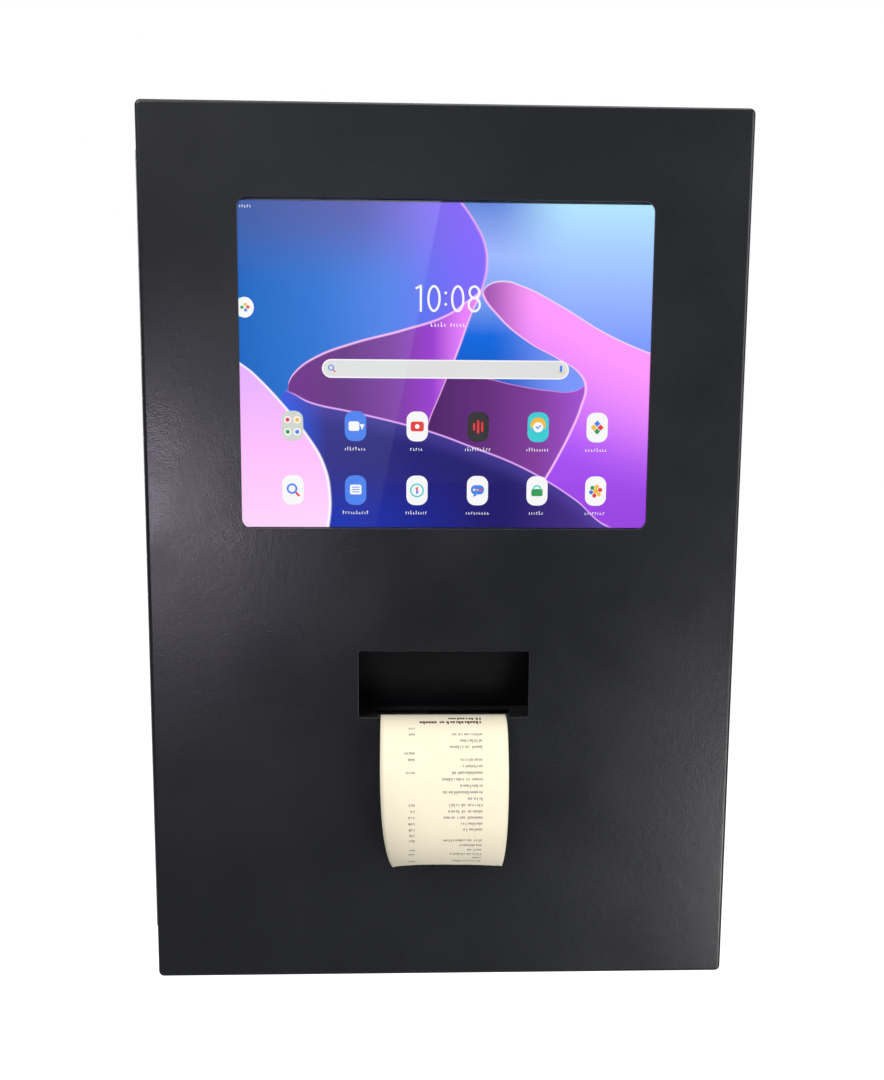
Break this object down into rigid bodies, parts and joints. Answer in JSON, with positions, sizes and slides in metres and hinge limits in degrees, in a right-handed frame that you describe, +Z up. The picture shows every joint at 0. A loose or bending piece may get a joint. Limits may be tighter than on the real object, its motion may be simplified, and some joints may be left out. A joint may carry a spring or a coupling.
{
  "type": "self checkout kiosk",
  "caption": "Wall-mounted self service kiosk: a black folded-steel cabinet with a hinged front, a tablet behind a window and a receipt printer behind a small opening.",
  "frame": {"origin": "centre of the four wall holes, on the back face of the cabinet", "axes": "+X to the right as seen from the front, +Y into the wall, +Z up"},
  "size_m": [0.3774, 0.1482, 0.5532],
  "materials": {
    "powder_coat": "satin",
    "pocket_paint": "satin",
    "zinc_steel": "satin",
    "stainless": "brushed",
    "lock_chrome": "polished",
    "fastener_steel": "satin",
    "foam": "matt",
    "thermal_paper": "matt",
    "cardboard_core": "matt",
    "tablet_metal": "satin",
    "screen_glass": "polished",
    "lit_display": "emissive",
    "circuit_board": "satin",
    "spring_steel": "polished",
    "head_ceramic": "satin",
    "aluminium": "satin",
    "platen_rubber": "matt",
    "green_plastic": "satin",
    "white_nylon": "satin",
    "black_plastic": "satin",
    "motor_can": "satin",
    "blade_steel": "ground",
    "brass": "satin",
    "cable_black": "matt",
    "wire_blue": "satin"
  },
  "bodies": {
    "cabinet": {"back_box": "powder_coat", "door_seal": "foam", "hinge_box_leaf": "stainless", "fasteners": "fastener_steel", "lock_barrel": "lock_chrome", "tablet_shell": "tablet_metal", "tablet_glass": "screen_glass", "tablet_display": "lit_display", "tablet_electronics": "circuit_board", "carrier_plate": "zinc_steel", "carrier_posts": "brass", "tablet_pads": "foam", "tablet_clips": "zinc_steel", "printer_frame": "zinc_steel", "printer_shelf": "powder_coat", "head_springs": "spring_steel", "gear_bearings": "brass", "feed_motor": "motor_can", "paper_web": "thermal_paper", "cutter_frame": "zinc_steel", "cutter_motor": "motor_can", "printer_board": "circuit_board", "roll_holder": "zinc_steel", "supply_case": "aluminium", "supply_cover": "aluminium", "supply_board": "circuit_board", "mains_inlet": "black_plastic", "inlet_pins": "brass", "grommet": "cable_black", "charger": "black_plastic", "cable_plugs": "black_plastic", "mains_wires": "wire_blue", "supply_cable": "cable_black", "printer_data_cable": "cable_black", "tablet_cable": "cable_black", "cable_saddles": "white_nylon"},
    "door": {"front_panel": "powder_coat", "window_gasket": "foam", "receipt_pocket": "pocket_paint", "receipt": "thermal_paper", "lock_keeper": "zinc_steel", "hinge_door_leaf": "stainless"},
    "lock_core": {"lock_plug": "lock_chrome", "lock_cam": "zinc_steel"},
    "print_head": {"thermal_head": "head_ceramic", "heat_sink": "aluminium"},
    "release_lever": {"head_lever": "green_plastic"},
    "platen": {"platen_roller": "platen_rubber", "platen_shaft": "stainless", "platen_gear": "white_nylon"},
    "idler": {"idler_gear": "white_nylon"},
    "motor_pinion": {"feed_pinion": "brass"},
    "roll": {"paper_roll": "thermal_paper", "roll_core": "cardboard_core"},
    "moving_blade": {"cutter_blade": "blade_steel"},
    "blade_pinion": {"cutter_pinion": "brass"},
    "paper_feed_button": {"feed_button": "green_plastic"},
    "power_switch": {"power_rocker": "black_plastic"},
    "screen_power_button": {"tablet_power_button": "tablet_metal"},
    "screen_volume_rocker": {"tablet_volume_rocker": "tablet_metal"}
  },
  "joints": [
    {"name": "door_hinge", "type": "hinge", "parent": "cabinet", "child": "door", "pos_m": [-0.1877, -0.09725, 0], "axis": [0, 0, -1], "range_deg": [0, 110]},
    {"name": "lock_turn", "type": "hinge", "parent": "cabinet", "child": "lock_core", "pos_m": [0.17, -0.072, 0], "axis": [-1, 0, 0], "range_deg": [0, 90]},
    {"name": "head_tilt", "type": "hinge", "parent": "cabinet", "child": "print_head", "pos_m": [0, -0.097, -0.158], "axis": [-1, 0, 0], "range_deg": [0, 8], "deforming": ["head_springs"]},
    {"name": "lever_turn", "type": "hinge", "parent": "cabinet", "child": "release_lever", "pos_m": [0, -0.091, -0.1198], "axis": [-1, 0, 0], "range_deg": [0, 60]},
    {"name": "roll_spin", "type": "hinge", "parent": "cabinet", "child": "roll", "pos_m": [0, -0.0641, -0.228], "axis": [-1, 0, 0], "continuous": true},
    {"name": "platen_spin", "type": "hinge", "parent": "cabinet", "child": "platen", "pos_m": [0, -0.1101, -0.135], "axis": [1, 0, 0], "continuous": true},
    {"name": "idler_spin", "type": "hinge", "parent": "cabinet", "child": "idler", "pos_m": [-0.051, -0.09168, -0.1417], "axis": [1, 0, 0], "continuous": true},
    {"name": "pinion_spin", "type": "hinge", "parent": "cabinet", "child": "motor_pinion", "pos_m": [-0.051, -0.07646, -0.1488], "axis": [1, 0, 0], "continuous": true},
    {"name": "blade_slide", "type": "slide", "parent": "cabinet", "child": "moving_blade", "axis": [0, -1, 0], "range_m": [0, 0.009]},
    {"name": "blade_pinion_spin", "type": "hinge", "parent": "cabinet", "child": "blade_pinion", "pos_m": [0.015, -0.079, -0.1086], "axis": [0, 0, 1], "range_deg": [0, 104]},
    {"name": "feed_press", "type": "slide", "parent": "cabinet", "child": "paper_feed_button", "axis": [0, 1, 0], "range_m": [0, 0.0008], "stiffness_N_per_m": 400},
    {"name": "power_switch_rock", "type": "hinge", "parent": "cabinet", "child": "power_switch", "pos_m": [-0.106, -0.048, -0.271], "axis": [1, 0, 0], "range_deg": [0, 18]},
    {"name": "screen_power_press", "type": "slide", "parent": "cabinet", "child": "screen_power_button", "axis": [0, 0, -1], "range_m": [0, 0.0004], "stiffness_N_per_m": 400},
    {"name": "screen_volume_rock", "type": "hinge", "parent": "cabinet", "child": "screen_volume_rocker", "pos_m": [-0.093, -0.11325, 0.2265], "axis": [0, 1, 0], "range_deg": [-1.2, 1.2], "stiffness_Nm_per_rad": 0.05}
  ],
  "couplings": [
    {"joint": "lever_turn", "follows": "head_tilt", "ratio": 7.5},
    {"joint": "platen_spin", "follows": "roll_spin", "ratio": 6.7288},
    {"joint": "idler_spin", "follows": "roll_spin", "ratio": -3.7382},
    {"joint": "pinion_spin", "follows": "roll_spin", "ratio": 11.215},
    {"joint": "blade_pinion_spin", "follows": "blade_slide", "rad_per_m": 200}
  ]
}
